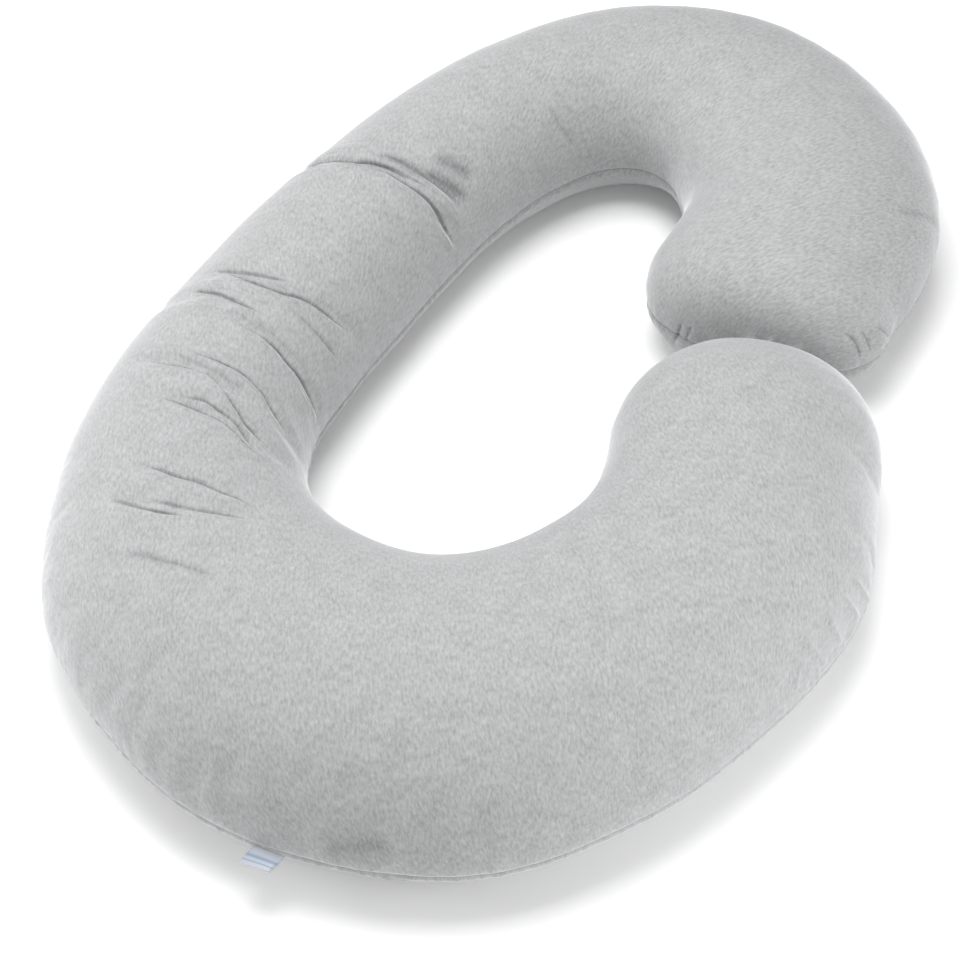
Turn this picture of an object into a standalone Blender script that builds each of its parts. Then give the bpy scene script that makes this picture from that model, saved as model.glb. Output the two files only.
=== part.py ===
"""Pregnancy pillow: a C-shaped body pillow, stuffed and sewn from two jersey panels, with a tag in its seam.

Metres, +Z up. The pillow lies on its back on the floor. The origin is on the floor under the middle of the box
round it, +Y points to the head end, and the mouth of the C, where the two ends nearly meet, is on the +X side.
"""

import math
from collections import namedtuple

import bmesh
import bpy
import numpy as np

# The section: two panels joined by a seam that runs right round, and a sole that lies on the floor.
SEAM_HEIGHT = 0.070
SEAM_PULL = 0.004  # how far the stitches draw the sides in
TOP_FULLNESS = 2.3  # 2 is an ellipse, and more is fuller
SIDE_FULLNESS = 1.35
SOLE_SHARE = 0.55  # the part of the width that lies flat

# Each rib is a line across the pillow, from its inner seam to its outer one, and the height of the crown on it.
# They run from the head end, round the back, to the leg end.
Rib = namedtuple("Rib", "name inner_x inner_y outer_x outer_y crown")
RIBS = (
    Rib("head end", 0.002, 0.386, 0.306, 0.454, 0.196),
    Rib("head side", 0.002, 0.432, 0.307, 0.532, 0.205),
    Rib("head corner", -0.004, 0.482, 0.278, 0.640, 0.208),
    Rib("top right", -0.036, 0.522, 0.192, 0.742, 0.205),
    Rib("top", -0.068, 0.540, 0.050, 0.812, 0.200),
    Rib("top left", -0.106, 0.536, -0.106, 0.806, 0.200),
    Rib("neck", -0.145, 0.500, -0.252, 0.721, 0.200),
    Rib("shoulder", -0.176, 0.430, -0.355, 0.573, 0.200),
    Rib("upper back", -0.194, 0.345, -0.412, 0.425, 0.195),
    Rib("middle back", -0.200, 0.262, -0.435, 0.300, 0.195),
    Rib("back", -0.203, 0.160, -0.453, 0.165, 0.195),
    Rib("waist", -0.203, 0.055, -0.459, 0.030, 0.195),
    Rib("lower back", -0.196, -0.045, -0.449, -0.118, 0.200),
    Rib("seat", -0.160, -0.120, -0.409, -0.276, 0.205),
    Rib("seat bend", -0.105, -0.156, -0.300, -0.443, 0.210),
    Rib("bottom left", -0.038, -0.165, -0.104, -0.541, 0.215),
    Rib("bottom", 0.028, -0.150, 0.087, -0.545, 0.215),
    Rib("bottom right", 0.080, -0.105, 0.270, -0.467, 0.215),
    Rib("leg bend", 0.112, -0.042, 0.394, -0.300, 0.215),
    Rib("leg wide", 0.124, 0.012, 0.455, -0.107, 0.215),
    Rib("leg upper", 0.113, 0.070, 0.465, 0.062, 0.215),
    Rib("leg end", 0.090, 0.130, 0.408, 0.203, 0.212),
)
CURVE_STEPS = 12  # between two ribs

# How far each end reaches past its last rib, and how square it is seen from above: 2 is round.
Nose = namedtuple("Nose", "reach squareness")
HEAD_NOSE = Nose(0.095, 2.7)
LEG_NOSE = Nose(0.168, 2.05)
NOSE_ROWS = 8

# Each fold runs from one place on the pillow to another. A place is so many metres along the middle line, and so
# many degrees round the section: 0 is the outer seam, 90 the crown and 180 the inner seam. Halfway, a fold lies
# its bow further along the middle line than the straight way between its ends.
Fold = namedtuple("Fold", "name from_at from_degrees to_at to_degrees bow depth half_width")
FOLDS = (
    Fold("behind the shoulder, long", 0.950, 14, 0.876, 124, 0.009, 0.008, 0.009),
    Fold("behind the shoulder, deep", 0.926, 68, 0.890, 168, -0.006, 0.011, 0.010),
    Fold("behind the shoulder, soft", 0.893, 78, 0.842, 152, 0.005, 0.006, 0.011),
    Fold("back, across", 1.184, 12, 1.176, 118, 0.002, 0.006, 0.009),
    Fold("waist, long", 1.136, 50, 1.098, 170, 0.027, 0.007, 0.009),
    Fold("waist, short", 1.146, 56, 1.108, 120, 0.002, 0.004, 0.009),
    Fold("waist, deep", 1.176, 60, 1.268, 172, 0.002, 0.009, 0.009),
    Fold("seat, first", 1.282, 54, 1.378, 168, -0.015, 0.008, 0.009),
    Fold("seat, second", 1.340, 74, 1.436, 152, -0.007, 0.006, 0.009),
    Fold("seat, upper", 1.416, 66, 1.566, 126, -0.008, 0.007, 0.010),
    Fold("seat, lower", 1.446, 58, 1.578, 116, 0.000, 0.005, 0.011),
)
RIDGE_SHARE = 0.3  # the height of the ridges beside a fold, as a share of its depth
FOLD_TAPER = 0.05  # metres over which the ends of a fold fade out

# The rows and columns of the mesh.
COARSE_ROW = 0.031
FINE_ROW = 0.008
FOLD_MARGIN = 0.02
TOP_COLUMNS = 20
SIDE_COLUMNS = 5

# The side tag, a strip of satin sewn into the outer seam of the leg end.
TAG_AT = 1.771  # metres along the middle line
TAG_WIDTH = 0.036
TAG_REACH = 0.022
TAG_DROOP = 0.003
TAG_THICKNESS = 0.0012
TAG_GAP = 0.0005
TAG_COLUMNS = 6

Section = namedtuple("Section", "centre across half_width crown sole")


def smooth_ribs():
    """A smooth curve through the ribs, and how far along the middle line each of its rows lies."""
    ribs = np.array([rib[1:] for rib in RIBS])
    knots = np.vstack([2 * ribs[0] - ribs[1], ribs, 2 * ribs[-1] - ribs[-2]])
    t = np.linspace(0.0, 1.0, CURVE_STEPS, endpoint=False)[:, None]
    stretches = []
    for a, b, c, d in zip(knots, knots[1:], knots[2:], knots[3:]):
        bend = (2 * a - 5 * b + 4 * c - d) * t**2 + (3 * b - a - 3 * c + d) * t**3
        stretches.append(b + 0.5 * ((c - a) * t + bend))
    curve = np.vstack(stretches + [ribs[-1:]])
    middle = (curve[:, 0:2] + curve[:, 2:4]) / 2
    steps = np.linalg.norm(np.diff(middle, axis=0), axis=1)
    return curve, np.concatenate([[0.0], np.cumsum(steps)])


CURVE, CURVE_AT = smooth_ribs()
LENGTH = float(CURVE_AT[-1])


def body_section(at):
    """The section so many metres along the middle line."""
    inner_x, inner_y, outer_x, outer_y, crown = (np.interp(at, CURVE_AT, column) for column in CURVE.T)
    inner = np.array([inner_x, inner_y])
    outer = np.array([outer_x, outer_y])
    width = np.linalg.norm(outer - inner)
    return Section((inner + outer) / 2, (outer - inner) / width, width / 2, crown, SEAM_HEIGHT)


def nose_section(base, outward, nose, share):
    """The section at a share of the nose's reach, where it has narrowed and its sole leaves the floor."""
    closing = (1 - share**nose.squareness) ** (1 / nose.squareness)
    lifting = max(0.0, (share - SOLE_SHARE) / (1 - SOLE_SHARE))
    centre = base.centre + outward * nose.reach * share
    crown = SEAM_HEIGHT + (base.crown - SEAM_HEIGHT) * closing
    sole = SEAM_HEIGHT * math.sqrt(1 - lifting**2)
    return Section(centre, base.across, base.half_width * closing, crown, sole)


def ring_shape():
    """Round a section of half width 1: each point's place in degrees, its place across, and its height."""
    over = np.linspace(0, 180, TOP_COLUMNS + 1)
    under = np.linspace(0, 90, SIDE_COLUMNS + 1)[1:]
    cos_over = np.cos(np.radians(over))
    across_over = np.sign(cos_over) * np.abs(cos_over) ** (2 / TOP_FULLNESS)
    height_over = np.abs(np.sin(np.radians(over))) ** (2 / TOP_FULLNESS)
    across_under = SOLE_SHARE + (1 - SOLE_SHARE) * np.cos(np.radians(under)) ** (2 / SIDE_FULLNESS)
    height_under = -np.sin(np.radians(under)) ** (2 / SIDE_FULLNESS)
    degrees = np.concatenate([over, 180 + under, [270], -under[::-1]])
    across = np.concatenate([across_over, -across_under, [0], across_under[::-1]])
    height = np.concatenate([height_over, height_under, [-1], height_under[::-1]])
    return degrees, across, height


DEGREES, ACROSS, HEIGHT = ring_shape()
OUTER_SEAM = 0
INNER_SEAM = TOP_COLUMNS


def ring_points(section):
    """The points round one section."""
    across = ACROSS * section.half_width
    pull = min(SEAM_PULL, section.half_width / 4)
    across[OUTER_SEAM] -= pull
    across[INNER_SEAM] += pull
    rise = np.where(HEIGHT > 0, section.crown - SEAM_HEIGHT, section.sole)
    flat = section.centre + across[:, None] * section.across
    return np.column_stack([flat, SEAM_HEIGHT + HEIGHT * rise])


def tag_rows():
    """Where the two sides and the middle of the tag meet the seam, in metres along the middle line."""
    step = 0.01
    ahead = body_section(TAG_AT + step)
    behind = body_section(TAG_AT - step)
    seam = [row.centre + row.half_width * row.across for row in (behind, ahead)]
    stretch = np.linalg.norm(seam[1] - seam[0]) / (2 * step)
    half = TAG_WIDTH / 2 / stretch
    return TAG_AT - half, TAG_AT, TAG_AT + half


def row_places():
    """The rows of the body: close together where there are folds, and one at each edge of the tag."""
    edges = tag_rows()
    places = [0.0]
    while places[-1] < LENGTH - COARSE_ROW / 2:
        ends = [sorted((fold.from_at, fold.to_at)) for fold in FOLDS]
        folded = any(low - FOLD_MARGIN < places[-1] < high + FOLD_MARGIN for low, high in ends)
        places.append(places[-1] + (FINE_ROW if folded else COARSE_ROW))
    clear = [place for place in places if min(abs(place - edge) for edge in edges) > COARSE_ROW / 4]
    return np.array(sorted(clear + list(edges)))


def nose_rows(base_at, outward_sign, nose):
    """The rings of a nose from its base to just before its tip, how far along they lie, and the tip."""
    base = body_section(base_at)
    outward = outward_sign * np.array([-base.across[1], base.across[0]])
    shares = np.sin(np.linspace(0, math.pi / 2, NOSE_ROWS + 1))[1:-1]
    rings = [ring_points(nose_section(base, outward, nose, share)) for share in shares]
    places = [base_at + outward_sign * nose.reach * share for share in shares]
    tip = np.append(base.centre + outward * nose.reach, SEAM_HEIGHT)
    return rings, places, tip


def fold_relief(at, stretch, girth):
    """How far the folds raise or sink each point, from the metres that a step along or round it covers."""
    relief = np.zeros_like(stretch)
    for fold in FOLDS:
        middle_at = (fold.from_at + fold.to_at) / 2
        row = np.abs(at - middle_at).argmin()
        column = np.abs(DEGREES - (fold.from_degrees + fold.to_degrees) / 2).argmin()
        scale = np.array([stretch[row, column], girth[row, column]])
        start = scale * (fold.from_at, fold.from_degrees)
        way = scale * (fold.to_at, fold.to_degrees) - start
        length = np.linalg.norm(way)
        along, round_it = np.meshgrid(at * scale[0] - start[0], DEGREES * scale[1] - start[1], indexing="ij")
        share = np.clip((along * way[0] + round_it * way[1]) / length**2, 0, 1)
        bowed = scale[0] * fold.bow * 4 * share * (1 - share)
        away = np.hypot(along - share * way[0] - bowed, round_it - share * way[1]) / fold.half_width
        fade = np.clip(np.minimum(share, 1 - share) * length / FOLD_TAPER, 0, 1)
        trough = -np.exp(-away**2)
        ridge = RIDGE_SHARE * np.exp(-(away - 2) ** 2)
        relief += fold.depth * fade**2 * (3 - 2 * fade) * (trough + ridge)
    return relief


def pillow_surface():
    """All rings of points from the head tip to the leg tip, folded, and the two tips."""
    head_rings, head_places, head_tip = nose_rows(0.0, -1, HEAD_NOSE)
    leg_rings, leg_places, leg_tip = nose_rows(LENGTH, 1, LEG_NOSE)
    places = row_places()
    rings = head_rings[::-1] + [ring_points(body_section(at)) for at in places] + leg_rings
    points = np.array(rings)
    at = np.concatenate([head_places[::-1], places, leg_places])
    along = np.gradient(points, at, axis=0)
    around = np.roll(points, -1, axis=1) - np.roll(points, 1, axis=1)
    degrees = np.abs(np.roll(DEGREES, -1) - np.roll(DEGREES, 1))
    outward = np.cross(along, around)
    outward /= np.maximum(np.linalg.norm(outward, axis=2, keepdims=True), 1e-9)
    stretch = np.linalg.norm(along, axis=2)
    girth = np.linalg.norm(around, axis=2) / degrees
    points = points + outward * fold_relief(at, stretch, girth)[:, :, None]
    return points, at, head_tip, leg_tip


def make_material(name, colour, roughness):
    """A plain material of one colour."""
    material = bpy.data.materials.new(name)
    material.use_nodes = True
    shader = material.node_tree.nodes["Principled BSDF"]
    shader.inputs["Base Color"].default_value = (*colour, 1.0)
    shader.inputs["Roughness"].default_value = roughness
    shader.inputs["Metallic"].default_value = 0.0
    material.diffuse_color = (*colour, 1.0)
    return material


def add_object(name, bm, material, collection):
    """A smooth object from a bmesh whose faces all point outwards."""
    bmesh.ops.recalc_face_normals(bm, faces=bm.faces[:])
    mesh = bpy.data.meshes.new(name)
    bm.to_mesh(mesh)
    bm.free()
    mesh.shade_smooth()
    mesh.materials.append(material)
    piece = bpy.data.objects.new(name, mesh)
    collection.objects.link(piece)
    return piece


def make_pillow(collection):
    """The stuffed pillow: a loft through all its sections, closed at both tips."""
    points, _, head_tip, leg_tip = pillow_surface()
    bm = bmesh.new()
    rings = [[bm.verts.new(point) for point in ring] for ring in points]
    for near, far in zip(rings, rings[1:]):
        for here, there, there_far, here_far in zip(near, near[1:] + near[:1], far[1:] + far[:1], far):
            bm.faces.new((here, there, there_far, here_far))
    for ring, tip in ((rings[0], head_tip), (rings[-1], leg_tip)):
        pole = bm.verts.new(tip)
        for here, there in zip(ring, ring[1:] + ring[:1]):
            bm.faces.new((here, there, pole))
    return add_object("pillow", bm, make_material("grey jersey", (0.56, 0.57, 0.58), 0.9), collection)


def make_tag(collection):
    """The side tag: a strip that leaves the seam level and droops."""
    sections = [body_section(at) for at in tag_rows()]
    roots = [row.centre + (row.half_width - SEAM_PULL) * row.across for row in sections]
    outward = sections[1].across
    bm = bmesh.new()
    bmesh.ops.create_grid(bm, x_segments=2, y_segments=TAG_COLUMNS, size=1.0)
    for vert in bm.verts:
        root = roots[round(vert.co.x) + 1]
        share = (vert.co.y + 1) / 2
        out = TAG_GAP + (TAG_REACH - TAG_GAP) * share
        flat = root + outward * out
        vert.co = (flat[0], flat[1], SEAM_HEIGHT - TAG_DROOP * share**2)
    tag = add_object("side_tag", bm, make_material("white satin", (0.86, 0.88, 0.92), 0.4), collection)
    solidify = tag.modifiers.new("thickness", "SOLIDIFY")
    solidify.thickness = TAG_THICKNESS
    solidify.offset = 0.0
    return tag


def centre_on_floor(pieces):
    """Move the pieces so that the middle of the box round them is over the origin."""
    corners = np.array([vert.co[:2] for piece in pieces for vert in piece.data.vertices])
    middle = (corners.min(axis=0) + corners.max(axis=0)) / 2
    for piece in pieces:
        piece.location = (-middle[0], -middle[1], 0.0)


def main():
    for old in list(bpy.data.objects):
        bpy.data.objects.remove(old)
    collection = bpy.data.collections.new("pregnancy pillow")
    bpy.context.scene.collection.children.link(collection)
    centre_on_floor([make_pillow(collection), make_tag(collection)])


main()
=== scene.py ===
# %% [markdown]
# # A C-shaped body pillow in grey jersey
# Two layers of soft jersey are sewn together along one seam that runs right round, and the case is
# stuffed with fibre. Everything here is in metres, and the pillow lies on its back on the floor.

# %% The frame
import math
from collections import namedtuple

import bmesh
import bpy
import numpy as np
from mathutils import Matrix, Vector, noise
from mathutils.bvhtree import BVHTree


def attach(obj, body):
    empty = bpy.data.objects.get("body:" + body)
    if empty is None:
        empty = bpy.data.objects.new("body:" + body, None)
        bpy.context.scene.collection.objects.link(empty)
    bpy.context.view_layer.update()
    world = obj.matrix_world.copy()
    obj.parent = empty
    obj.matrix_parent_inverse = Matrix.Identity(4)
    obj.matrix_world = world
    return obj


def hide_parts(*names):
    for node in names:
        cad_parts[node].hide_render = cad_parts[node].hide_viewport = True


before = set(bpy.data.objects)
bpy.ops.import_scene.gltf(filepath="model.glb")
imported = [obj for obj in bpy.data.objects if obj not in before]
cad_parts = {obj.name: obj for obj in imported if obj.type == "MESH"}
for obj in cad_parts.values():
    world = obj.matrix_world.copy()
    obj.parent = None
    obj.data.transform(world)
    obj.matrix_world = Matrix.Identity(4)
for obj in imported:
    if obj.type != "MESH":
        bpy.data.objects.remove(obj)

bpy.ops.object.select_all(action="DESELECT")
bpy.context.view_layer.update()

# %% [markdown]
# ## The camera
# It looks down at the pillow from the foot of it, a little to the right. It comes first, because the
# creases are later found through it.

# %% The camera
IMAGE_WIDTH = 968
IMAGE_HEIGHT = 956
FOCAL_PIXELS = 2950
SENSOR_WIDTH = 36
CAMERA_AZIMUTH = math.radians(31)
CAMERA_ELEVATION = math.radians(50)
CAMERA_DISTANCE = 3.4
CAMERA_TARGET = Vector((-0.0043, -0.1237, 0.08))

towards_camera = Vector((
    math.sin(CAMERA_AZIMUTH) * math.cos(CAMERA_ELEVATION),
    -math.cos(CAMERA_AZIMUTH) * math.cos(CAMERA_ELEVATION),
    math.sin(CAMERA_ELEVATION),
))
camera = bpy.data.objects.new("camera", bpy.data.cameras.new("camera"))
camera.data.sensor_width = SENSOR_WIDTH
camera.data.lens = FOCAL_PIXELS / IMAGE_WIDTH * SENSOR_WIDTH
camera.location = CAMERA_TARGET + CAMERA_DISTANCE * towards_camera
camera.rotation_euler = (-towards_camera).to_track_quat("-Z", "Y").to_euler()
bpy.context.scene.collection.objects.link(camera)
bpy.context.scene.camera = camera
bpy.context.view_layer.update()


def view_ray(x, y):
    """The direction in which the camera sees the pixel (x, y) of the photo."""
    across = (x - IMAGE_WIDTH / 2) / FOCAL_PIXELS
    down = (y - IMAGE_HEIGHT / 2) / FOCAL_PIXELS
    return (camera.matrix_world.to_3x3() @ Vector((across, -down, -1.0))).normalized()


print("lens", round(camera.data.lens, 1), "mm")

# %% [markdown]
# ## The plan of the pillow
# The pillow is a stuffed tube that bends round into a C. Ribs across it, from the inner seam to the outer
# one, say where it runs and how high its crown is. With them, a place on the jersey can be told as so far
# along the pillow and so far from its crown.

# %% The ribs
PLAN_SHIFT = np.array([-0.0043, -0.1237])  # from the ribs' own origin to the middle of the solid
SEAM_HEIGHT = 0.070
TOP_FULLNESS = 2.3  # 2 is an ellipse from the seam over the crown, and more is squarer
Rib = namedtuple("Rib", "name inner_x inner_y outer_x outer_y crown")
RIBS = (
    Rib("head end", 0.002, 0.386, 0.306, 0.454, 0.196),
    Rib("head side", 0.002, 0.432, 0.307, 0.532, 0.205),
    Rib("head corner", -0.004, 0.482, 0.278, 0.640, 0.208),
    Rib("top right", -0.036, 0.522, 0.192, 0.742, 0.205),
    Rib("top", -0.068, 0.540, 0.050, 0.812, 0.200),
    Rib("top left", -0.106, 0.536, -0.106, 0.806, 0.200),
    Rib("neck", -0.145, 0.500, -0.252, 0.721, 0.200),
    Rib("shoulder", -0.176, 0.430, -0.355, 0.573, 0.200),
    Rib("upper back", -0.194, 0.345, -0.412, 0.425, 0.195),
    Rib("middle back", -0.200, 0.262, -0.435, 0.300, 0.195),
    Rib("back", -0.203, 0.160, -0.453, 0.165, 0.195),
    Rib("waist", -0.203, 0.055, -0.459, 0.030, 0.195),
    Rib("lower back", -0.196, -0.045, -0.449, -0.118, 0.200),
    Rib("seat", -0.160, -0.120, -0.409, -0.276, 0.205),
    Rib("seat bend", -0.105, -0.156, -0.300, -0.443, 0.210),
    Rib("bottom left", -0.038, -0.165, -0.104, -0.541, 0.215),
    Rib("bottom", 0.028, -0.150, 0.087, -0.545, 0.215),
    Rib("bottom right", 0.080, -0.105, 0.270, -0.467, 0.215),
    Rib("leg bend", 0.112, -0.042, 0.394, -0.300, 0.215),
    Rib("leg wide", 0.124, 0.012, 0.455, -0.107, 0.215),
    Rib("leg upper", 0.113, 0.070, 0.465, 0.062, 0.215),
    Rib("leg end", 0.090, 0.130, 0.408, 0.203, 0.212),
)
Nose = namedtuple("Nose", "reach squareness")
HEAD_NOSE = Nose(0.095, 2.7)
LEG_NOSE = Nose(0.168, 2.05)
print(len(RIBS), "ribs from", RIBS[0].name, "to", RIBS[-1].name)

# %% The rows between the ribs
CURVE_STEPS = 12  # rows from one rib to the next
ROW_REACH = 0.1  # distances from a row are counted in this, and from an end row in the reach of its nose


def smooth_curve(points, count_steps):
    """A smooth curve through some points. A function says how many steps it takes from one to the next."""
    knots = np.vstack([2 * points[0] - points[1], points, 2 * points[-1] - points[-2]])
    stretches = []
    for a, b, c, d in zip(knots, knots[1:], knots[2:], knots[3:]):
        t = np.linspace(0.0, 1.0, count_steps(b, c), endpoint=False)[:, None]
        bend = (2 * a - 5 * b + 4 * c - d) * t**2 + (3 * b - a - 3 * c + d) * t**3
        stretches.append(b + 0.5 * ((c - a) * t + bend))
    return np.vstack(stretches + [points[-1:]])


def unit(vectors):
    """The same directions at length 1."""
    return vectors / np.linalg.norm(vectors, axis=-1, keepdims=True)


row_values = smooth_curve(np.array([rib[1:] for rib in RIBS]), lambda rib, following: CURVE_STEPS)
inner_seam = row_values[:, 0:2] + PLAN_SHIFT
outer_seam = row_values[:, 2:4] + PLAN_SHIFT
row_crown = row_values[:, 4]
row_centre = (inner_seam + outer_seam) / 2
row_half = np.linalg.norm(outer_seam - inner_seam, axis=1) / 2
row_across = unit(outer_seam - inner_seam)
row_ahead = np.column_stack([-row_across[:, 1], row_across[:, 0]])
row_steps = np.linalg.norm(np.diff(row_centre, axis=0), axis=1)
row_at = np.concatenate([[0.0], np.cumsum(row_steps)])
row_reach = np.full((len(row_at), 2), ROW_REACH)
row_reach[0, 0] = HEAD_NOSE.reach
row_reach[-1, 1] = LEG_NOSE.reach
print(len(row_at), "rows")

# %% Where a point lies on the plan
TINY = 1e-6  # keeps a division away from 0
BLOCK = 20000  # how many points are placed at once, which keeps the tables small
WIDEST = 1.1  # a point further out than so many half widths and a bit is not beside a row
WIDEST_MARGIN = 0.01
NOT_BESIDE = 100
Place = namedtuple("Place", "at ahead offset half crown nose")


def in_blocks(points, size):
    """The points seen from above, some at a time."""
    return np.array_split(points[:, :2], max(1, len(points) // size))


def places_of(points):
    """Where points lie on the plan: how far along, how far ahead of the end rows, and how far across."""
    parts = []
    last = len(row_at) - 1
    for flat in in_blocks(points, BLOCK):
        here = np.arange(len(flat))
        away = flat[:, None] - row_centre[None]
        ahead = np.einsum("nrk,rk->nr", away, row_ahead)
        offset = np.einsum("nrk,rk->nr", away, row_across)
        outside = np.abs(offset) > WIDEST * row_half + WIDEST_MARGIN
        far = np.where(ahead < 0, -ahead / row_reach[:, 0], ahead / row_reach[:, 1]) + NOT_BESIDE * outside
        row = far.argmin(axis=1)
        other = np.clip(row + np.where(ahead[here, row] > 0, 1, -1), 0, last)
        gap = ahead[here, row] - ahead[here, other]
        share = np.clip(ahead[here, row] / np.where(np.abs(gap) > TINY, gap, np.inf), 0, 1)
        nearest = np.where(share >= 1, other, row)
        beyond = ahead[here, nearest]
        past = np.where(((nearest == 0) & (beyond < 0)) | ((nearest == last) & (beyond > 0)), beyond, 0.0)
        across = offset[here, row] + share * (offset[here, other] - offset[here, row])
        tables = (row_at, row_half, row_crown)
        between = [table[row] + share * (table[other] - table[row]) for table in tables]
        parts.append((past, across, *between))
    past, across, at, half, crown = (np.concatenate(column) for column in zip(*parts))
    return Place(at, past, across, half, crown, np.sign(past))


print("length along the middle line", round(row_at[-1], 3), "m")

# %% [markdown]
# ## The stuffed case
# The case is cut in two flat layers and stuffed through a gap in the seam, so its shape comes from the
# stuffing that presses outwards everywhere but at the seam and on the floor. The solid gives the shape it
# takes. Its mesh is made even by a voxel remesh, drawn in a little, and blown out again as cloth that is
# held along the seam and the sole. No point may move far, so the pillow keeps its size.

# %% Working on a mesh


def make_active(obj):
    bpy.ops.object.select_all(action="DESELECT")
    bpy.context.view_layer.objects.active = obj
    obj.select_set(True)


def apply_modifier(obj, modifier):
    make_active(obj)
    bpy.ops.object.modifier_apply(modifier=modifier.name)


def read_vectors(mesh, name):
    """The co or normal of each vertex, as rows of an array."""
    values = np.empty(len(mesh.vertices) * 3)
    mesh.vertices.foreach_get(name, values)
    return values.reshape(-1, 3)


def write_points(mesh, points):
    mesh.vertices.foreach_set("co", points.ravel())
    mesh.update()


# %% The even case
VOXEL = 0.008
MERGE_DISTANCE = 1e-5
SMOOTHING_FACTOR = 0.5
SMOOTHING_ROUNDS = 4


def even_copy(node, name):
    """A copy of a solid's mesh with its loose triangles joined, made even and soft."""
    obj = bpy.data.objects.new(name, bpy.data.objects[node].data.copy())
    bpy.context.scene.collection.objects.link(obj)
    bm = bmesh.new()
    bm.from_mesh(obj.data)
    bmesh.ops.remove_doubles(bm, verts=bm.verts[:], dist=MERGE_DISTANCE)
    bm.to_mesh(obj.data)
    bm.free()
    make_active(obj)
    obj.data.remesh_voxel_size = VOXEL
    bpy.ops.object.voxel_remesh()
    smooth = obj.modifiers.new("smooth", "SMOOTH")
    smooth.factor = SMOOTHING_FACTOR
    smooth.iterations = SMOOTHING_ROUNDS
    apply_modifier(obj, smooth)
    obj.data.materials.clear()
    return obj


pillow = even_copy("pillow", "body_pillow")
print(pillow.name, len(pillow.data.polygons), "even faces")

# %% The stuffing
START_INSET = 0.0015
PRESSURE = 6.0
PRESSED_FRAMES = 12
CLOTH_QUALITY = 4
LARGEST_MOVE = 0.007
SEAM_BAND = 0.006  # how far above and below the seam the jersey is held
SOLE_BAND = 0.004  # how far above the floor it is held


def stuff(obj):
    """Press the jersey out between its seam and the floor, and keep each point near where it was."""
    mesh = obj.data
    resting = read_vectors(mesh, "co")
    outward = read_vectors(mesh, "normal")
    held = (np.abs(resting[:, 2] - SEAM_HEIGHT) < SEAM_BAND) | (resting[:, 2] < SOLE_BAND)
    write_points(mesh, resting - START_INSET * outward * ~held[:, None])
    group = obj.vertex_groups.new(name="held")
    group.add([int(i) for i in np.nonzero(held)[0]], 1.0, "REPLACE")
    cloth = obj.modifiers.new("stuffing", "CLOTH")
    cloth.settings.quality = CLOTH_QUALITY
    cloth.settings.use_pressure = True
    cloth.settings.uniform_pressure_force = PRESSURE
    cloth.settings.effector_weights.gravity = 0.0
    cloth.settings.vertex_group_mass = group.name
    scene = bpy.context.scene
    for frame_number in range(1, PRESSED_FRAMES + 1):
        scene.frame_set(frame_number)
    apply_modifier(obj, cloth)
    scene.frame_set(1)
    obj.vertex_groups.clear()
    move = read_vectors(mesh, "co") - resting
    size = np.linalg.norm(move, axis=1, keepdims=True)
    write_points(mesh, resting + move * np.minimum(1, LARGEST_MOVE / np.maximum(size, TINY)))
    return float(size.mean())


print("the stuffing moved the jersey by", round(stuff(pillow) * 1000, 1), "mm on average")
finer = pillow.modifiers.new("finer", "SUBSURF")
finer.levels = 1
finer.render_levels = 1
apply_modifier(pillow, finer)
pillow.data.shade_smooth()
print(pillow.name, len(pillow.data.polygons), "finer faces")

# %% [markdown]
# ## Creases
# Where the stuffed tube bends, the jersey on the inside of the bend is too long and gathers into creases.
# The main ones are in the solid already. Here each crease gets its sharp bottom, with a soft roll of
# cloth on the near side and a dip on the far one. They are traced on the photo, as pixels, and each
# traced point is carried along the camera's ray to the jersey, which puts it where a simulation would
# not. In a few places, such as by the leg end, the jersey is pulled into small ridges instead. How far
# the cloth is gathered beside a crease is kept too, for the fine wrinkles in its material.

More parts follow.
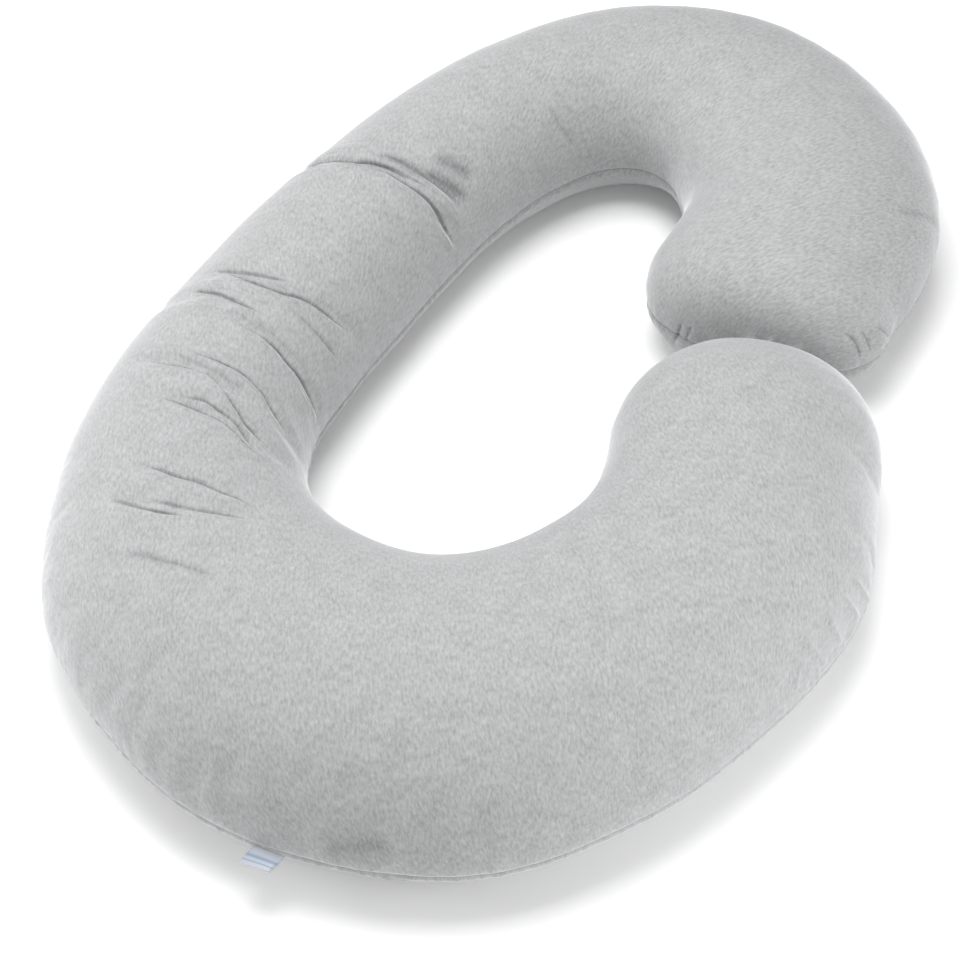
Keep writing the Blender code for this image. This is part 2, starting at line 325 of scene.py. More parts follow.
# %% The creases on the photo
Crease = namedtuple("Crease", "name depth half_width roll deepest pixels")  # a ridge has a depth below 0
CREASES = (
    Crease("shoulder, long", 0.0044, 0.0024, 0.2, 0.25, (
        (303, 171), (308, 167), (322, 163), (343, 161), (364, 162), (385, 167), (399, 173), (418, 182),
        (436, 194))),
    Crease("shoulder, from the edge", 0.0040, 0.0044, 0.0, 0.40, (
        (302, 172), (308, 167), (318, 164), (330, 162), (343, 161), (356, 162), (370, 164))),
    Crease("shoulder, deep", 0.0048, 0.0026, 0.7, 0.70, (
        (334, 166), (343, 166), (364, 168), (385, 174), (399, 181), (413, 189), (429, 202), (444, 226),
        (456, 255))),
    Crease("shoulder, soft", 0.0034, 0.0050, 0.5, 0.75, (
        (357, 151), (367, 152), (392, 157), (413, 168), (431, 179), (446, 191), (462, 209))),
    Crease("shoulder, hollow", 0.0036, 0.0075, 0.2, 0.50, (
        (420, 169), (436, 178), (452, 187), (470, 202))),
    Crease("shoulder, upper hollow", 0.0026, 0.0080, 0.2, 0.50, (
        (432, 155), (446, 161), (460, 168), (478, 179))),
    Crease("back, across", 0.0040, 0.0024, 0.6, 0.25, (
        (152, 307), (155, 305), (171, 296), (191, 291), (213, 293), (233, 300), (252, 308), (272, 319))),
    Crease("waist, first", 0.0032, 0.0022, 0.5, 0.50, (
        (208, 271), (218, 271), (246, 272), (271, 276), (298, 283))),
    Crease("waist, long", 0.0042, 0.0023, 0.6, 0.45, (
        (220, 271), (230, 275), (254, 282), (279, 291), (304, 299), (324, 312), (337, 323), (354, 339))),
    Crease("waist, low", 0.0024, 0.0032, 0.4, 0.60, (
        (286, 305), (296, 313), (317, 333), (329, 348), (340, 364))),
    Crease("waist, deep", 0.0052, 0.0025, 0.7, 0.70, (
        (214, 313), (223, 315), (236, 321), (246, 329), (263, 338), (276, 349), (287, 363), (296, 373),
        (309, 396), (317, 424))),
    Crease("seat, upper", 0.0040, 0.0023, 0.6, 0.50, (
        (186, 351), (193, 353), (213, 359), (229, 366), (243, 374), (254, 384), (263, 394), (274, 414),
        (290, 442))),
    Crease("seat, first", 0.0050, 0.0024, 0.6, 0.45, (
        (132, 363), (163, 364), (180, 367), (196, 371), (210, 377), (221, 388), (233, 404), (243, 419),
        (258, 438), (280, 460))),
    Crease("seat, second", 0.0042, 0.0023, 0.6, 0.50, (
        (154, 397), (163, 398), (180, 403), (196, 410), (213, 418), (228, 427), (240, 438), (249, 446),
        (270, 464))),
    Crease("seat, branch", 0.0030, 0.0021, 0.5, 0.50, (
        (176, 395), (188, 397), (205, 401), (218, 410), (234, 422), (247, 438), (260, 455))),
    Crease("seat, long", 0.0036, 0.0026, 0.5, 0.50, (
        (134, 461), (151, 467), (176, 475), (201, 482), (219, 490), (239, 498), (264, 514))),
    Crease("seat, middle", 0.0030, 0.0025, 0.4, 0.45, (
        (146, 498), (166, 502), (196, 509), (226, 514), (254, 521))),
    Crease("seat, low", 0.0034, 0.0023, 0.5, 0.40, (
        (108, 498), (123, 502), (143, 507), (163, 512), (196, 517))),
    Crease("seat, faint", 0.0020, 0.0045, 0.2, 0.50, ((120, 551), (150, 557), (185, 566), (222, 578))),
    Crease("head corner", 0.0015, 0.0060, 0.3, 0.50, ((891, 210), (918, 214), (937, 227))),
    Crease("head end, left", 0.0028, 0.0030, 0.4, 0.50, (
        (682, 321), (680, 328), (677, 336), (674, 345))),
    Crease("head end, second left", 0.0022, 0.0027, 0.4, 0.50, ((692, 325), (689, 333), (686, 342))),
    Crease("head end, right", 0.0030, 0.0030, 0.4, 0.60, (
        (843, 332), (852, 339), (857, 348), (860, 358))),
    Crease("head end, second right", 0.0024, 0.0027, 0.4, 0.50, ((861, 331), (867, 341), (870, 352))),
    Crease("head end, third right", 0.0022, 0.0027, 0.4, 0.50, ((875, 326), (882, 331), (888, 338))),
    Crease("leg side, first ridge", -0.0024, 0.0045, 0.4, 0.60, (
        (849, 570), (856, 581), (865, 594), (868, 604))),
    Crease("leg side, second ridge", -0.0020, 0.0042, 0.4, 0.60, (
        (841, 590), (848, 601), (855, 611), (858, 621))),
    Crease("leg side, third ridge", -0.0024, 0.0045, 0.4, 0.60, (
        (825, 608), (829, 618), (835, 632), (841, 645))),
    Crease("leg side, fourth ridge", -0.0026, 0.0050, 0.4, 0.60, (
        (795, 626), (804, 638), (815, 652), (827, 666))),
    Crease("leg side, fifth ridge", -0.0022, 0.0045, 0.4, 0.60, (
        (801, 668), (796, 680), (796, 692), (801, 702))),
    Crease("by the tag, soft", 0.0017, 0.0140, 0.4, 0.45, (
        (303, 862), (320, 854), (342, 849), (370, 848), (400, 844))),
    Crease("by the tag, ridge", -0.0016, 0.0060, 0.4, 0.50, ((362, 873), (386, 865), (409, 857))),
    Crease("top, soft ridge", -0.0012, 0.0070, 0.3, 0.50, (
        (664, 7), (676, 10), (692, 20), (698, 34), (699, 46))),
    Crease("top, fine", 0.0015, 0.0035, 0.3, 0.50, ((547, 105), (562, 128), (578, 152))),
)
print(len(CREASES), "creases")

# %% The creases on the jersey
CREASE_STEP = 0.0015  # from one point of a crease's line to the next


def seen_points(tree, pixels):
    """Where the camera's rays through some pixels meet the surface."""
    hits = [tree.ray_cast(camera.location, view_ray(*pixel))[0] for pixel in pixels]
    return np.array([hit for hit in hits if hit is not None])


def crease_steps(knot, following):
    return max(2, math.ceil(np.linalg.norm(following - knot) / CREASE_STEP))


def traced_lines(obj):
    """The line of each crease on the pillow."""
    tree = BVHTree.FromObject(obj, bpy.context.evaluated_depsgraph_get())
    lines = []
    for crease in CREASES:
        knots = seen_points(tree, crease.pixels)
        if len(knots) < 2:
            print("not on the pillow:", crease.name)
            continue
        lines.append((crease, smooth_curve(knots, crease_steps)))
    return lines


crease_lines = traced_lines(pillow)
print(len(crease_lines), "of them lie on the pillow")

# %% The shape of a crease
CREASE_RISE = 1.9  # how fast a crease deepens from its ends
CREASE_SHARPNESS = 1.5  # 1 is a sharp bottom, and 2 a round one
ROLL_WIDTH = 3.2  # how far from a crease its ridge lies, in half widths
GATHER_REACH = 0.022  # how far from a crease the cloth is gathered
GATHER_DEPTHS = (0.0024, 0.0040)  # not gathered up to the first depth, and fully from the second
GATHER_END = 2.5  # beyond so many reaches nothing is left of a crease


def near_line(points, line, reach):
    """Which points lie in the box around a line, widened by a reach."""
    inside = (points > line.min(axis=0) - reach) & (points < line.max(axis=0) + reach)
    return np.nonzero(inside.all(axis=1))[0]


def strength_along(share, deepest):
    """0 at both ends of a crease and 1 for a good way on both sides of where it is deepest."""
    rise = np.where(share < deepest, share / deepest, (1 - share) / (1 - deepest))
    rise = np.minimum(1.0, CREASE_RISE * rise)
    return rise * rise * (3 - 2 * rise)


def press_crease(points, line, crease):
    """How far a crease raises each point, how far it sinks its bottom, and how gathered the cloth is."""
    relief, bottom, gather = np.zeros((3, len(points)))
    picked = near_line(points, line, GATHER_END * GATHER_REACH)
    to_line = np.linalg.norm(points[picked][:, None] - line[None], axis=2)
    closest = to_line.argmin(axis=1)
    away = to_line.min(axis=1)
    strength = strength_along(closest / (len(line) - 1), crease.deepest)
    half_width = crease.half_width * (0.5 + 0.5 * strength)
    to_camera = np.array([math.sin(CAMERA_AZIMUTH), -math.cos(CAMERA_AZIMUTH), 0])
    nearer = (points[picked] - line[closest]) @ to_camera
    roll = np.sign(nearer) * away / (ROLL_WIDTH * half_width)
    valley = np.exp(-((away / half_width) ** CREASE_SHARPNESS))
    deep = crease.depth * strength
    relief[picked] = deep * (crease.roll * roll * np.exp(0.5 - roll**2 / 2) - valley)
    bottom[picked] = deep * valley
    gathered = np.interp(crease.depth, GATHER_DEPTHS, (0, 1))
    gather[picked] = strength * np.exp(-((away / GATHER_REACH) ** 2)) * gathered
    return relief, bottom, gather


print("along a crease its depth goes", np.round(strength_along(np.linspace(0, 1, 9), 0.5), 2))

# %% Pressing the creases in


def refine_near(obj, lines, widths, seam_reach):
    """Divide the faces once more within some half widths of the creases, and near the seam."""
    mesh = obj.data
    points = read_vectors(mesh, "co")
    fine = np.abs(points[:, 2] - SEAM_HEIGHT) < seam_reach
    for crease, line in lines:
        reach = widths * crease.half_width
        picked = near_line(points, line, reach)
        away = np.linalg.norm(points[picked][:, None] - line[None], axis=2).min(axis=1)
        fine[picked[away < reach]] = True
    bm = bmesh.new()
    bm.from_mesh(mesh)
    bm.verts.ensure_lookup_table()
    edges = [edge for edge in bm.edges if fine[edge.verts[0].index] and fine[edge.verts[1].index]]
    bmesh.ops.subdivide_edges(bm, edges=edges, cuts=1, use_grid_fill=True)
    bm.to_mesh(mesh)
    bm.free()


def add_number(mesh, name, values):
    """Keep a number for each point of a mesh, for its material."""
    mesh.attributes.new(name, "FLOAT", "POINT").data.foreach_set("value", values)


def fold_in_creases(obj, lines):
    """Press all the creases in, and keep how deep and how gathered each point is."""
    mesh = obj.data
    points = read_vectors(mesh, "co")
    relief, bottom, gather = np.zeros((3, len(points)))
    for crease, line in lines:
        raised, sunk, gathered = press_crease(points, line, crease)
        relief += raised
        bottom = np.maximum(bottom, sunk)
        gather += gathered
    write_points(mesh, points + read_vectors(mesh, "normal") * relief[:, None])
    # The depth of each crease bottom is kept so that painted shade darkens the colour there.
    add_number(mesh, "crease", bottom / max(crease.depth for crease in CREASES))
    add_number(mesh, "gather", np.minimum(gather, 1.0))
    return relief


refine_near(pillow, crease_lines, widths=5.0, seam_reach=0.008)
refine_near(pillow, crease_lines, widths=2.5, seam_reach=0.0)
creases = fold_in_creases(pillow, crease_lines)
print(len(pillow.data.polygons), "faces with those near the creases")
print("the deepest crease", round(-creases.min() * 1000, 1), "mm")

# %% [markdown]
# ## The seam
# The two layers meet in one seam that runs right round the side, at one height. The thread is tighter
# than the jersey, so it draws a groove in, and the cloth beside it gathers into small puckers. They are
# too small for the cloth simulation, so they follow a formula. The seam is followed as a line from the
# head end along the outside, round the leg end, and back along the inside.

# %% Along the seam
RIM_STEPS = 40
SEAM_BLOCK = 8000  # how many points are placed at once


def nose_rim(row, side, nose):
    """The seam round an end, from its outer side to its inner one."""
    turn = np.linspace(0, math.pi, RIM_STEPS)[1:-1]
    power = 2 / nose.squareness
    across = np.sign(np.cos(turn)) * np.abs(np.cos(turn)) ** power * row_half[row]
    ahead = side * np.sin(turn) ** power * nose.reach
    return row_centre[row] + across[:, None] * row_across[row] + ahead[:, None] * row_ahead[row]


def seam_loop():
    """The seam seen from above, as a closed line, and how far along it each of its points lies."""
    head_rim = nose_rim(0, -1, HEAD_NOSE)
    leg_rim = nose_rim(-1, 1, LEG_NOSE)
    loop = np.vstack([outer_seam, leg_rim, inner_seam[::-1], head_rim[::-1], outer_seam[:1]])
    steps = np.linalg.norm(np.diff(loop, axis=0), axis=1)
    return loop, np.concatenate([[0.0], np.cumsum(steps)])


def seam_places(points):
    """How far along the seam each point lies."""
    loop, travelled = seam_loop()
    starts = loop[:-1]
    ways = np.diff(loop, axis=0)
    lengths = np.linalg.norm(ways, axis=1)
    places = []
    for flat in in_blocks(points, SEAM_BLOCK):
        away = flat[:, None] - starts[None]
        share = np.clip(np.einsum("nrk,rk->nr", away, ways) / lengths**2, 0, 1)
        gap = np.linalg.norm(away - share[:, :, None] * ways[None], axis=2)
        closest = gap.argmin(axis=1)
        along = share[np.arange(len(flat)), closest] * lengths[closest]
        places.append(travelled[:-1][closest] + along)
    return np.concatenate(places)


print("seam", round(float(seam_loop()[1][-1]), 2), "m long")

# %% The groove and its puckers
SEAM_GROOVE = 0.0028
SEAM_HALF_WIDTH = 0.0045
PUCKER_HEIGHT = 0.0007
PUCKER_LENGTH = 0.017
PUCKER_REACH = 0.020
PUCKER_SLANT = 90  # how far a pucker turns with its distance from the seam, in radians per metre


def pucker(along, over):
    """Gathers beside the seam, from -1 to 1, whose length, lean and height differ along it."""
    phase = 2 * math.pi * along / PUCKER_LENGTH
    # The waves below have lengths that don't fit each other, so no two puckers are alike.
    wander = 1.7 * np.sin(phase / 3.3 + 1.0) + 1.1 * np.sin(phase / 7.1)
    strength = 0.55 + 0.45 * np.sin(phase / 5.3 + 2.0) * np.sin(phase / 13.0)
    return strength * np.sin(phase + wander + PUCKER_SLANT * over) * np.exp(-((over / PUCKER_REACH) ** 2))


def draw_in_seam(obj):
    """Draw the groove in, and raise the puckers beside it."""
    mesh = obj.data
    points = read_vectors(mesh, "co")
    near = np.abs(points[:, 2] - SEAM_HEIGHT) < 3 * PUCKER_REACH
    over = points[near, 2] - SEAM_HEIGHT
    groove = np.exp(-((over / SEAM_HALF_WIDTH) ** 2))
    relief = PUCKER_HEIGHT * pucker(seam_places(points[near]), over) * (1 - groove) - SEAM_GROOVE * groove
    points[near] += read_vectors(mesh, "normal")[near] * relief[:, None]
    write_points(mesh, points)
    return float(-relief.min())


print("the seam is drawn in by", round(draw_in_seam(pillow) * 1000, 1), "mm")

# %% [markdown]
# ## Soft lumps
# Loose fibre never fills a case quite evenly. Broad, very shallow lumps show as soft light and shade.

# %% Soft lumps
Lump = namedtuple("Lump", "size height")
LUMPS = (Lump(0.16, 0.0022), Lump(0.07, 0.0009))
LUMPS_FROM = 0.03  # full above this height, and fading to nothing on the floor


def lumpy(obj):
    """Raise and sink the jersey a little, and keep it on the floor."""
    mesh = obj.data
    points = read_vectors(mesh, "co")
    relief = np.zeros(len(points))
    for lump in LUMPS:
        relief += lump.height * np.array([noise.noise(Vector(point / lump.size)) for point in points])
    relief *= np.clip(points[:, 2] / LUMPS_FROM, 0, 1)
    points += read_vectors(mesh, "normal") * relief[:, None]
    points[:, 2] = np.maximum(points[:, 2], 0.0)
    write_points(mesh, points)
    return float(np.abs(relief).max())


print("lumps up to", round(lumpy(pillow) * 1000, 1), "mm")
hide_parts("pillow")
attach(pillow, "root")

# %% [markdown]
# ## The flat panel
# Each layer is cut from flat jersey, whose streaks all run one way. Stuffed and bent into a C, they turn
# with the cloth. So every point is given its place on the flat panel, which is the middle line bent back
# by as much as the streaks have turned, with the ribs laid across it at their length over the crown. It
# is kept as a UV map. A second map runs along and across the fine wrinkles beside the creases, which lean
# with the bend.

# %% The flat panel
Streak = namedtuple("Streak", "at degrees")  # which way they run, seen from above, so far along the pillow
STREAKS = (
    Streak(0.00, 53),
    Streak(0.25, 62),
    Streak(0.45, 86),
    Streak(0.90, 118),
    Streak(1.65, 121),
    Streak(2.05, 132),
    Streak(2.42, 137),
)
Lean = namedtuple("Lean", "at share")  # how far a wrinkle runs along the tube as it runs across it
LEANS = (
    Lean(0.85, 0.30),
    Lean(1.10, 0.10),
    Lean(1.20, -0.20),
    Lean(1.30, -0.35),
    Lean(1.45, -0.70),
    Lean(1.60, -0.90),
)
print("the streaks turn by", STREAKS[-1].degrees - STREAKS[0].degrees, "degrees")

# %% The way over the crown
ARC_TURNS = 46
ARC_RATIOS = np.linspace(0.2, 2.4, 45)  # how tall a section is for its half width
SMALLEST_RIM = 1e-3


def crown_arcs():
    """The way from the crown down to each height, in half widths, on sections of each ratio."""
    turn = np.linspace(math.pi / 2, 0, ARC_TURNS)
    power = 2 / TOP_FULLNESS
    across = np.abs(np.cos(turn)) ** power
    height = np.abs(np.sin(turn)) ** power
    steps = np.hypot(np.diff(across)[None], ARC_RATIOS[:, None] * np.diff(height)[None])
    return np.hstack([np.zeros((len(ARC_RATIOS), 1)), np.cumsum(steps, axis=1)])


def crown_lengths(points, place):
    """The way over the jersey from the crown to each point, and the straight way seen from above."""
    reach = np.where(place.nose < 0, HEAD_NOSE.reach, LEG_NOSE.reach)
    square = np.where(place.nose < 0, HEAD_NOSE.squareness, LEG_NOSE.squareness)
    away = np.hypot(place.ahead, place.offset)
    past = np.abs(place.ahead) / reach
    beside = np.abs(place.offset) / place.half
    share = np.where(place.nose == 0, beside, (past**square + beside**square) ** (1 / square))
    rim = away / np.maximum(share, TINY)
    rise = np.clip((points[:, 2] - SEAM_HEIGHT) / (place.crown - SEAM_HEIGHT), 0, 1)
    turn = np.arctan2(rise ** (TOP_FULLNESS / 2), np.minimum(share, 1) ** (TOP_FULLNESS / 2))
    arcs = crown_arcs()
    ratio = (place.crown - SEAM_HEIGHT) / np.maximum(rim, SMALLEST_RIM)
    ratio = np.clip(ratio, ARC_RATIOS[0], ARC_RATIOS[-1])
    line = (ratio - ARC_RATIOS[0]) / (ARC_RATIOS[1] - ARC_RATIOS[0])
    column = (1 - turn / (math.pi / 2)) * (ARC_TURNS - 1)
    i = np.minimum(line.astype(int), len(ARC_RATIOS) - 2)
    j = np.minimum(column.astype(int), ARC_TURNS - 2)
    u = line - i
    v = column - j
    lower = (1 - v) * arcs[i, j] + v * arcs[i, j + 1]
    taller = (1 - v) * arcs[i + 1, j] + v * arcs[i + 1, j + 1]
    arc = (1 - u) * lower + u * taller
    under = np.maximum(0, SEAM_HEIGHT - points[:, 2])
    below = points[:, 2] < SEAM_HEIGHT
    length = arc * rim + under + np.where(below, np.maximum(0, rim - away), 0)
    return length, away


longest_arc = crown_arcs()[:, -1].max()
print("over the tallest section it is", round(float(longest_arc), 2), "half widths from crown to seam")

# %% The two maps


def flat_panel_rows():
    """The middle of each row on the flat panel, and the angle of its rib there."""
    streaks = np.interp(row_at, [streak.at for streak in STREAKS], [streak.degrees for streak in STREAKS])
    turned = np.radians(streaks - 90)
    way = np.diff(row_centre, axis=0)
    middle_turn = (turned[1:] + turned[:-1]) / 2
    heading = np.arctan2(way[:, 1], way[:, 0]) - middle_turn
    steps = row_steps[:, None] * np.column_stack([np.cos(heading), np.sin(heading)])
    middle = np.vstack([[0.0, 0.0], np.cumsum(steps, axis=0)])
    across = np.unwrap(np.arctan2(row_across[:, 1], row_across[:, 0])) - turned
    return middle, across


def panel_places(points):
    """Where each point lies on the flat panel, in metres, and where along and across the wrinkles."""
    place = places_of(points)
    length, away = crown_lengths(points, place)
    middle, across = flat_panel_rows()
    base = np.column_stack([np.interp(place.at, row_at, column) for column in middle.T])
    angle = np.interp(place.at, row_at, across)
    along_rib = np.column_stack([np.cos(angle), np.sin(angle)])
    along_way = np.column_stack([-along_rib[:, 1], along_rib[:, 0]])
    scale = length / np.maximum(away, TINY)
    sideways = scale * place.offset
    panel = base + sideways[:, None] * along_rib + (scale * place.ahead)[:, None] * along_way
    lean = np.interp(place.at, [lean.at for lean in LEANS], [lean.share for lean in LEANS])
    return panel, np.column_stack([place.at - lean * sideways, sideways])


def add_maps(obj):
    """Keep both places of each point as UV maps."""
    mesh = obj.data
    corners = np.empty(len(mesh.loops), dtype=int)
    mesh.loops.foreach_get("vertex_index", corners)
    maps = panel_places(read_vectors(mesh, "co"))
    for name, places in zip(("panel", "wrinkles"), maps):
        mesh.uv_layers.new(name=name).data.foreach_set("uv", places[corners].ravel())
    return maps[0]


flat_places = add_maps(pillow)
print("the flat panel is", np.round(flat_places.max(axis=0) - flat_places.min(axis=0), 2), "m")

# %% [markdown]
# ## Sums in a shader
# A pattern is worked out from sockets. One small class lets a socket stand in a sum, and each sum adds one
# Math node. Another makes a material and any other node. So a pattern is as short as its formula.

# %% Sums in a shader


class Wire:
    """A number that a shader works out at each point."""

    def __init__(self, tree, socket):
        self.tree = tree
        self.socket = socket

    def math(self, operation, *others, clamp=False):
        node = self.tree.nodes.new("ShaderNodeMath")
        node.operation = operation
        node.use_clamp = clamp
        for socket, value in zip(node.inputs, (self, *others)):
            if isinstance(value, Wire):
                self.tree.links.new(value.socket, socket)
            else:
                socket.default_value = value
        return Wire(self.tree, node.outputs[0])

    def __add__(self, other):
        return self.math("ADD", other)

    def __radd__(self, other):
        return self.math("ADD", other)

    def __sub__(self, other):
        return self.math("SUBTRACT", other)

    def __rsub__(self, other):
        return self.math("MULTIPLY", -1).math("ADD", other)

    def __mul__(self, other):
        return self.math("MULTIPLY", other)

    def __rmul__(self, other):
        return self.math("MULTIPLY", other)

    def __truediv__(self, other):
        return self.math("DIVIDE", other)

    def clamped(self):
        return self.math("ADD", 0, clamp=True)

    def bump_at(self, place, width):
        """1 where the number is at the place, falling to 0 a few widths away."""
        away = (self - place) / width
        return (away * away * -1).math("EXPONENT")


# %% A material and its nodes


class Shader:
    """A new material, and the nodes that feed its surface."""

    def __init__(self, name):
        self.material = bpy.data.materials.new(name)
        self.material.use_nodes = True
        self.tree = self.material.node_tree
        self.surface = self.tree.nodes["Principled BSDF"]

    def plug(self, value, socket):
        """Link a wire to a socket, or set a plain value on it."""
        if isinstance(value, Wire):
            self.tree.links.new(value.socket, socket)
        else:
            socket.default_value = value

    def node(self, kind, settings, sockets, output):
        """A node with its settings, then its sockets' values or wires. Its output comes back as a wire."""
        node = self.tree.nodes.new("ShaderNode" + kind)
        for name, value in settings.items():
            setattr(node, name, value)
        for name, value in sockets.items():
            self.plug(value, node.inputs[name])
        return Wire(self.tree, node.outputs[output])

    def set(self, **sockets):
        """Plain values or wires on the surface's own sockets."""
        for name, value in sockets.items():
            self.plug(value, self.surface.inputs[name.replace("_", " ")])

    def uv(self, name):
        return self.node("UVMap", {"uv_map": name}, {}, "UV")

    def attribute(self, name):
        return self.node("Attribute", {"attribute_name": name}, {}, "Fac")

    def part(self, vector, axis):
        """One part of a vector."""
        return self.node("SeparateXYZ", {}, {"Vector": vector}, axis)

    def noise(self, vector, size, detail):
        """Soft random spots of a size, across and along."""
        scale = (1 / size[0], 1 / size[1], 1)
        scaled = self.node("Mapping", {}, {"Vector": vector, "Scale": scale}, "Vector")
        return self.node("TexNoise", {}, {"Vector": scaled, "Scale": 1.0, "Detail": detail}, "Fac")

    def blend(self, factor, dark, light):
        """A colour between two others."""
        colours = {"Factor": factor, "A": (*dark, 1.0), "B": (*light, 1.0)}
        return self.node("Mix", {"data_type": "RGBA"}, colours, "Result")

    def bump(self, height, distance, strength=1.0):
        sockets = {"Height": height, "Distance": distance, "Strength": strength}
        return self.node("Bump", {}, sockets, "Normal")


# %% [markdown]
# ## Heathered jersey
# Light grey and dark grey fibres are spun together, so the yarn varies along its length, and the knit
# stretches this into short streaks along the wales. The nap is soft: matt, with a faint bright rim. The
# seam line is the dark gap between the two layers, painted in as shade, and the bottoms of the creases
# get a little painted shade.
# The fine wrinkles beside the creases are a bump.

# %% Heathered jersey
STREAK_SIZE = (0.0031, 0.0080)
FINE_STREAK_SIZE = (0.0018, 0.0042)
CLOUD_SIZE = (0.028, 0.028)
WRINKLE_SIZE = (0.0065, 0.060)
WRINKLE_HEIGHT = 0.0036
KNIT_HEIGHT = 0.0003
KNIT_FINE_SHARE = 0.6
STREAK_WEIGHT = 0.72
FINE_WEIGHT = 0.34
CLOUD_WEIGHT = 0.26
HEATHER_OFFSET = -0.16
JERSEY_DARK = (0.186, 0.189, 0.191)
JERSEY_LIGHT = (0.555, 0.558, 0.561)
# How dark the painted shade is in the bottoms of the creases.
CREASE_SHADE = 0.70
# How dark the painted shade is along the seam line, where the gap between the layers lies.
SEAM_SHADE = 0.30
SEAM_LINE = 0.0011


def jersey():
    shader = Shader("grey jersey")
    panel = shader.uv("panel")
    streak = shader.noise(panel, STREAK_SIZE, 1.5)
    fine = shader.noise(panel, FINE_STREAK_SIZE, 1.0)
    cloud = shader.noise(panel, CLOUD_SIZE, 2.0)
    heather = streak * STREAK_WEIGHT + fine * FINE_WEIGHT + cloud * CLOUD_WEIGHT + HEATHER_OFFSET
    height = shader.part(shader.node("TexCoord", {}, {}, "Object"), "Z")
    # Painted shade: a thin dark line at the seam's height, for the gap between the two layers.
    line = height.bump_at(SEAM_HEIGHT, SEAM_LINE)
    # Painted shade: the colour is darker in the bottoms of the creases, by how deep they are.
    factor = (heather - line * SEAM_SHADE - shader.attribute("crease") * CREASE_SHADE).clamped()
    wrinkle = shader.noise(shader.uv("wrinkles"), WRINKLE_SIZE, 1.0) * shader.attribute("gather")
    knit = fine * KNIT_FINE_SHARE + streak * (1 - KNIT_FINE_SHARE)
    shader.set(
        Base_Color=shader.blend(factor, JERSEY_DARK, JERSEY_LIGHT),
        Normal=shader.bump(wrinkle * WRINKLE_HEIGHT + knit * KNIT_HEIGHT, 1.0),
        Roughness=0.92,
        Metallic=0.0,
        Sheen_Weight=0.85,
        Sheen_Roughness=0.42,
        Sheen_Tint=(0.97, 0.98, 1.0, 1.0),
    )
    return shader.material


pillow.data.materials.append(jersey())
print("grey jersey of", len(pillow.data.materials[0].node_tree.nodes), "nodes")

# %% [markdown]
# ## The side tag
# A strip of satin is folded in half and sewn into the outer seam, where it sticks out and droops. Its
# edges are left as they are woven, and a broad and a thin band of pale blue are woven across it. A cloth
# simulation would move so short a strip hardly at all, so it is drawn as rows of points from the seam to
# the fold and back.

# %% The strip seen from its side
TAG_AT = 1.777  # how far along the middle line of the pillow
TAG_WIDTH = 0.036
TAG_REACH = 0.020
TAG_ROOT_DEPTH = 0.004  # how far it reaches into the seam
TAG_LEAN = 0.006  # how far the fold lies back along the seam
TAG_DROOP = 0.003
TAG_CURL = 0.0025  # how far its two sides bend up and down at the fold
CURL_TURN = 3.0  # the part of a wave that the fold makes, in radians, and where its middle lies in the wave
CURL_MIDDLE = 0.6
TAG_PLY = 0.0005
TAG_GAP = 0.0009  # between the middles of its two layers
TAG_STEPS = 20
FOLD_STEPS = 7
TAG_COLUMNS = 13


def on_middle_line(at, rows):
    """The value of some rows at a place along the middle line."""
    return np.array([np.interp(at, row_at, column) for column in rows.T])


def tag_profile():
    """How far out and how high the strip runs to its fold and back, and how far along itself that is."""
    turn = np.linspace(math.pi / 2, -math.pi / 2, FOLD_STEPS)
    out = np.linspace(-TAG_ROOT_DEPTH, TAG_REACH - TAG_GAP, TAG_STEPS)[:-1]
    fold_out = TAG_REACH - TAG_GAP + TAG_GAP / 2 * np.cos(turn)
    fold_up = TAG_GAP / 2 * np.sin(turn)
    outs = np.concatenate([out, fold_out, out[::-1]])
    ups = np.concatenate([np.full(len(out), TAG_GAP / 2), fold_up, np.full(len(out), -TAG_GAP / 2)])
    travelled = np.concatenate([[0.0], np.cumsum(np.hypot(np.diff(outs), np.diff(ups)))])
    return outs, ups, travelled


# %% The folded strip


def make_tag():
    """A strip from the seam out to its fold and back under itself."""
    outward = unit(on_middle_line(TAG_AT, row_across))
    along = np.array([-outward[1], outward[0]])
    root = on_middle_line(TAG_AT, row_centre) + outward * np.interp(TAG_AT, row_at, row_half)
    besides = np.linspace(-TAG_WIDTH / 2, TAG_WIDTH / 2, TAG_COLUMNS)
    bm = bmesh.new()
    uv = bm.loops.layers.uv.new("strip")
    rows = []
    places = {}
    for out, up, far in zip(*tag_profile()):
        share = max(0.0, out) / TAG_REACH
        row = []
        for beside in besides:
            curl = TAG_CURL * share * math.sin(CURL_TURN * beside / TAG_WIDTH + CURL_MIDDLE)
            flat = root + outward * out + along * (beside - TAG_LEAN * share)
            vert = bm.verts.new((flat[0], flat[1], SEAM_HEIGHT + up - TAG_DROOP * share**2 + curl))
            places[vert] = (beside, far)
            row.append(vert)
        rows.append(row)
    for row, following in zip(rows, rows[1:]):
        for corners in zip(row, row[1:], following[1:], following):
            for loop in bm.faces.new(corners).loops:
                loop[uv].uv = places[loop.vert]
    bmesh.ops.recalc_face_normals(bm, faces=bm.faces[:])
    mesh = bpy.data.meshes.new("tag_strip")
    bm.to_mesh(mesh)
    bm.free()
    mesh.shade_smooth()
    tag = bpy.data.objects.new("tag_strip", mesh)
    bpy.context.scene.collection.objects.link(tag)
    thick = tag.modifiers.new("thickness", "SOLIDIFY")
    thick.thickness = TAG_PLY
    thick.offset = 0.0
    return tag


tag = make_tag()
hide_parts("side_tag")
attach(tag, "root")
print(tag.name, len(tag.data.polygons), "faces")

# %% [markdown]
# ## Satin
# Satin shows long threads on its face, so it is smooth and has a soft shine. The weave is too fine to
# model, so it is a bump. The two bands lie at their places along the strip, whose length is in its UV map.

# %% Satin
SATIN = (0.47, 0.50, 0.56)
BAND = (0.23, 0.31, 0.42)
BROAD_BAND = (0.0125, 0.0022)  # how far along the strip it lies, and its half width
THIN_BAND = (0.0185, 0.0009)
WEAVE_SIZE = 0.0006
WEAVE_HEIGHT = 0.0001


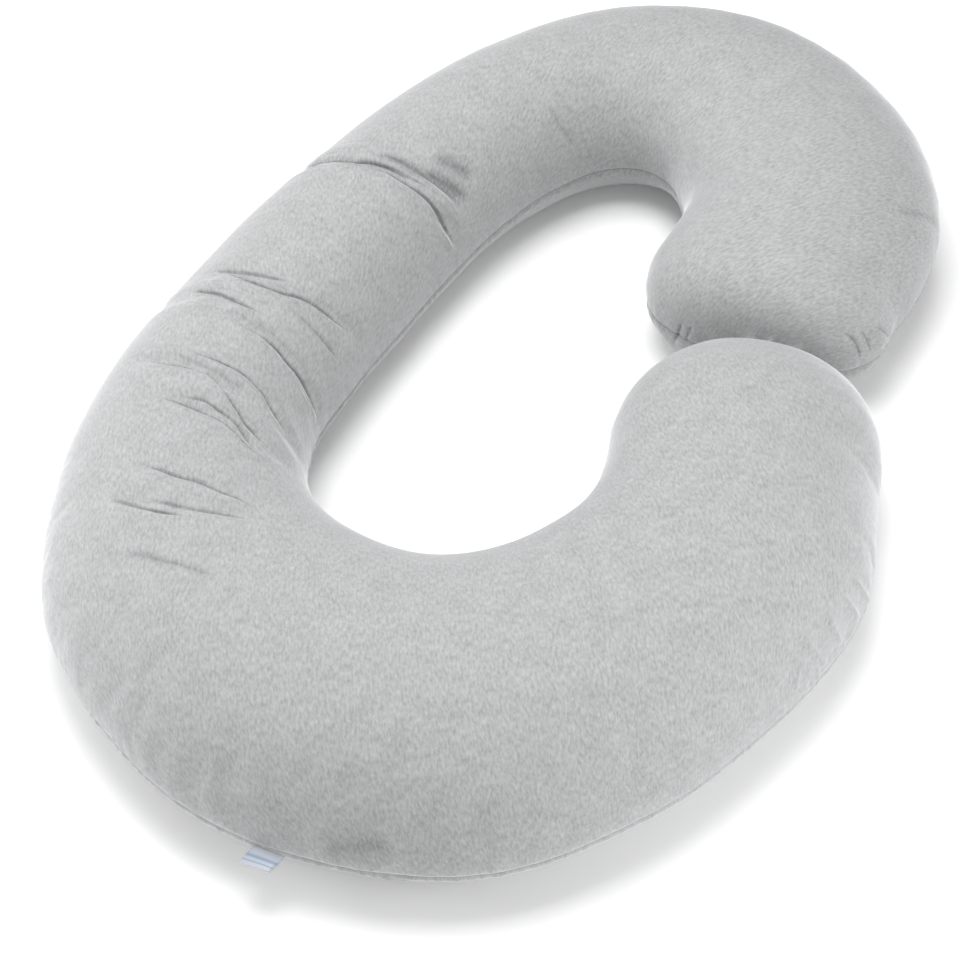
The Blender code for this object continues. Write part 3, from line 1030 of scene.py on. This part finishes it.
def satin():
    shader = Shader("white satin")
    far = shader.part(shader.uv("strip"), "Y")
    band = (far.bump_at(*BROAD_BAND) + far.bump_at(*THIN_BAND)).clamped()
    weave = (far * (2 * math.pi / WEAVE_SIZE)).math("SINE") * 0.5 + 0.5
    shader.set(
        Base_Color=shader.blend(band, SATIN, BAND),
        Normal=shader.bump(weave, WEAVE_HEIGHT, 0.4),
        Roughness=0.35,
        Metallic=0.0,
        Sheen_Weight=0.1,
    )
    return shader.material


tag.data.materials.append(satin())
print("satin of", len(tag.data.materials[0].node_tree.nodes), "nodes")

# %% [markdown]
# ## Floor and light
# The photo has a white floor without an edge. Most of the light comes from above and from the upper left,
# and soft light from the sides and the front makes the rims pale, so only a short shadow lies at the foot
# of the pillow.

# %% Floor and light
WHITE = (1.0, 1.0, 1.0, 1.0)
FLOOR_SIZE = 14
ROOM_LIGHT = 0.36
FLOOR_GLOW = 0.05
Lamp = namedtuple("Lamp", "name power size place")
LAMPS = (
    Lamp("top", 60, 1.6, Vector((-0.3, 0.2, 2.8))),
    Lamp("back left", 25, 2.0, Vector((-2.6, 0.3, 2.2))),
    Lamp("left rim", 19, 1.2, Vector((-1.8, -1.5, 0.9))),
    Lamp("right rim", 6.5, 0.8, Vector((1.3, -0.35, 0.5))),
    Lamp("front", 6, 1.4, Vector((1.7, -2.0, 1.5))),
)


def add_floor():
    bpy.ops.mesh.primitive_plane_add(size=FLOOR_SIZE)
    floor = bpy.context.object
    floor.name = "floor"
    shader = Shader("white floor")
    shader.set(Base_Color=WHITE, Roughness=1.0, Specular_IOR_Level=0.0)
    shader.set(Emission_Color=WHITE, Emission_Strength=FLOOR_GLOW)
    floor.data.materials.append(shader.material)


def add_lamp(lamp):
    """A square lamp that faces the pillow."""
    data = bpy.data.lights.new(lamp.name, "AREA")
    data.size = lamp.size
    data.energy = lamp.power
    light = bpy.data.objects.new(lamp.name, data)
    light.location = lamp.place
    light.rotation_euler = (CAMERA_TARGET - lamp.place).to_track_quat("-Z", "Y").to_euler()
    bpy.context.scene.collection.objects.link(light)


def light_room():
    """The same white light from all round."""
    world = bpy.data.worlds.new("room")
    world.use_nodes = True
    background = world.node_tree.nodes["Background"]
    background.inputs["Color"].default_value = WHITE
    background.inputs["Strength"].default_value = ROOM_LIGHT
    bpy.context.scene.world = world


add_floor()
for lamp in LAMPS:
    add_lamp(lamp)
light_room()
bpy.context.scene.view_settings.view_transform = "Standard"
all_power = sum(lamp.power for lamp in LAMPS)
print("room light", ROOM_LIGHT, "and", len(LAMPS), "lamps of", all_power, "W in all")
